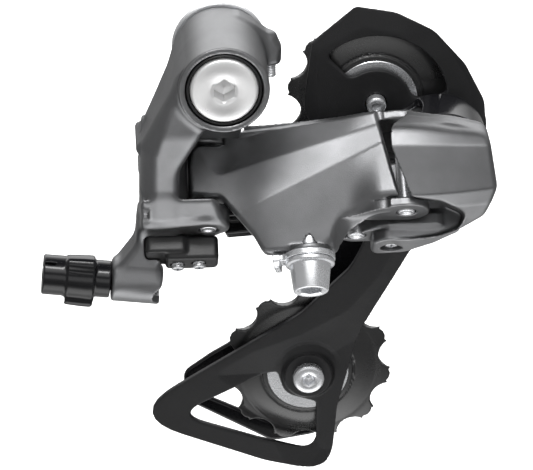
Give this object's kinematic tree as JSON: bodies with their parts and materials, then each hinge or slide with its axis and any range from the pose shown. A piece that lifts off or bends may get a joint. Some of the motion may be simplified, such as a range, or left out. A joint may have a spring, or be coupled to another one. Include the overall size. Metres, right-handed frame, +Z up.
{
  "type": "rear bicycle derailleur",
  "caption": "Rear bicycle derailleur that moves a chain sideways on a sprung four-pin parallelogram and takes up its slack with a sprung two-pulley cage.",
  "frame": {"origin": "on the hanger bolt's axis, at the outer face of the frame's hanger, where the stopper plate seats", "axes": "+X forward on the bicycle, +Y inboard towards the wheel along the hanger bolt, +Z up"},
  "size_m": [0.1109, 0.0536, 0.1309],
  "materials": {
    "paint": "satin",
    "steel": "satin",
    "spring_steel": "satin",
    "plate_black": "matt",
    "gloss_black": "gloss",
    "resin": "matt",
    "bronze": "satin"
  },
  "bodies": {
    "mount": {"mounting_bolt": "steel", "stopper_plate": "steel", "snap_ring": "spring_steel"},
    "bracket": {"bracket_body": "paint", "limit_screw_holder": "resin", "bracket_seal_ring": "resin", "bracket_front_bush": "resin", "bracket_rear_bush": "resin", "bracket_spring": "spring_steel", "outer_link_bracket_pin": "steel", "inner_link_bracket_pin": "steel"},
    "adjuster": {"cable_adjuster": "gloss_black"},
    "high_screw": {"high_limit_screw": "steel"},
    "low_screw": {"low_limit_screw": "steel"},
    "tension_screw": {"b_tension_screw": "steel"},
    "outer_link": {"outer_link": "paint", "return_spring": "spring_steel", "cable_anchor_washer": "steel", "cable_anchor_bolt": "steel"},
    "inner_link": {"inner_link": "gloss_black"},
    "knuckle": {"knuckle_body": "paint", "knuckle_sleeve": "gloss_black", "outer_link_knuckle_pin": "steel", "inner_link_knuckle_pin": "steel", "knuckle_set_screw": "steel", "cage_front_bush": "resin", "cage_spring": "spring_steel"},
    "cage": {"outer_cage_plate": "plate_black", "inner_cage_plate": "gloss_black", "cage_axle": "steel", "cage_stop_pin": "steel", "guide_pulley_bush": "bronze", "guide_pulley_outer_cap": "steel", "guide_pulley_inner_cap": "steel", "tension_pulley_bush": "bronze", "tension_pulley_outer_cap": "steel", "tension_pulley_inner_cap": "steel", "guide_pulley_bolt": "steel", "tension_pulley_bolt": "steel"},
    "guide_wheel": {"guide_pulley": "resin"},
    "tension_wheel": {"tension_pulley": "resin"}
  },
  "joints": [
    {"name": "bracket_pivot", "type": "hinge", "parent": "mount", "child": "bracket", "pos_m": [0, 0, 0], "axis": [0, 1, 0], "range_deg": [0, 45], "stiffness_Nm_per_rad": 0.6, "springref_deg": -68.75, "deforming": ["bracket_spring"]},
    {"name": "outer_link_pivot", "type": "hinge", "parent": "bracket", "child": "outer_link", "pos_m": [-0.0037, -0.0099, -0.03253], "axis": [0, 0.7071, 0.7071], "range_deg": [0, 55], "stiffness_Nm_per_rad": 0.35, "springref_deg": -57.3, "deforming": ["return_spring"]},
    {"name": "inner_link_pivot", "type": "hinge", "parent": "bracket", "child": "inner_link", "pos_m": [-0.015, 0, -0.04243], "axis": [0, 0.7071, 0.7071], "range_deg": [0, 55]},
    {"name": "knuckle_pivot", "type": "hinge", "parent": "outer_link", "child": "knuckle", "pos_m": [0.04391, -0.01644, -0.02598], "axis": [0, 0.7071, 0.7071], "range_deg": [-55, 0]},
    {"name": "cage_pivot", "type": "hinge", "parent": "knuckle", "child": "cage", "pos_m": [0.0535, 0, -0.0256], "axis": [0, -1, 0], "range_deg": [0, 120], "stiffness_Nm_per_rad": 0.25, "springref_deg": -80.21, "deforming": ["cage_spring"]},
    {"name": "guide_pulley_spin", "type": "hinge", "parent": "cage", "child": "guide_wheel", "pos_m": [0.0386, 0.009, -0.0179], "axis": [0, 1, 0], "continuous": true},
    {"name": "tension_pulley_spin", "type": "hinge", "parent": "cage", "child": "tension_wheel", "pos_m": [0.0223, 0.009, -0.0933], "axis": [0, 1, 0], "continuous": true},
    {"name": "cable_adjuster_turn", "type": "hinge", "parent": "bracket", "child": "adjuster", "pos_m": [-0.0213, -0.013, -0.0571], "axis": [-0.9934, 0, 0.1149], "continuous": true},
    {"name": "high_limit_turn", "type": "hinge", "parent": "bracket", "child": "high_screw", "pos_m": [-0.006, -0.01513, -0.04709], "axis": [0, 0.7071, 0.7071], "continuous": true},
    {"name": "low_limit_turn", "type": "hinge", "parent": "bracket", "child": "low_screw", "pos_m": [-0.0112, -0.01457, -0.04766], "axis": [0, 0.7071, 0.7071], "continuous": true},
    {"name": "b_tension_turn", "type": "hinge", "parent": "bracket", "child": "tension_screw", "pos_m": [0.012, -0.0049, 0], "axis": [0, 0, 1], "continuous": true}
  ],
  "couplings": [
    {"joint": "inner_link_pivot", "follows": "outer_link_pivot", "ratio": 1},
    {"joint": "knuckle_pivot", "follows": "outer_link_pivot", "ratio": -1}
  ]
}
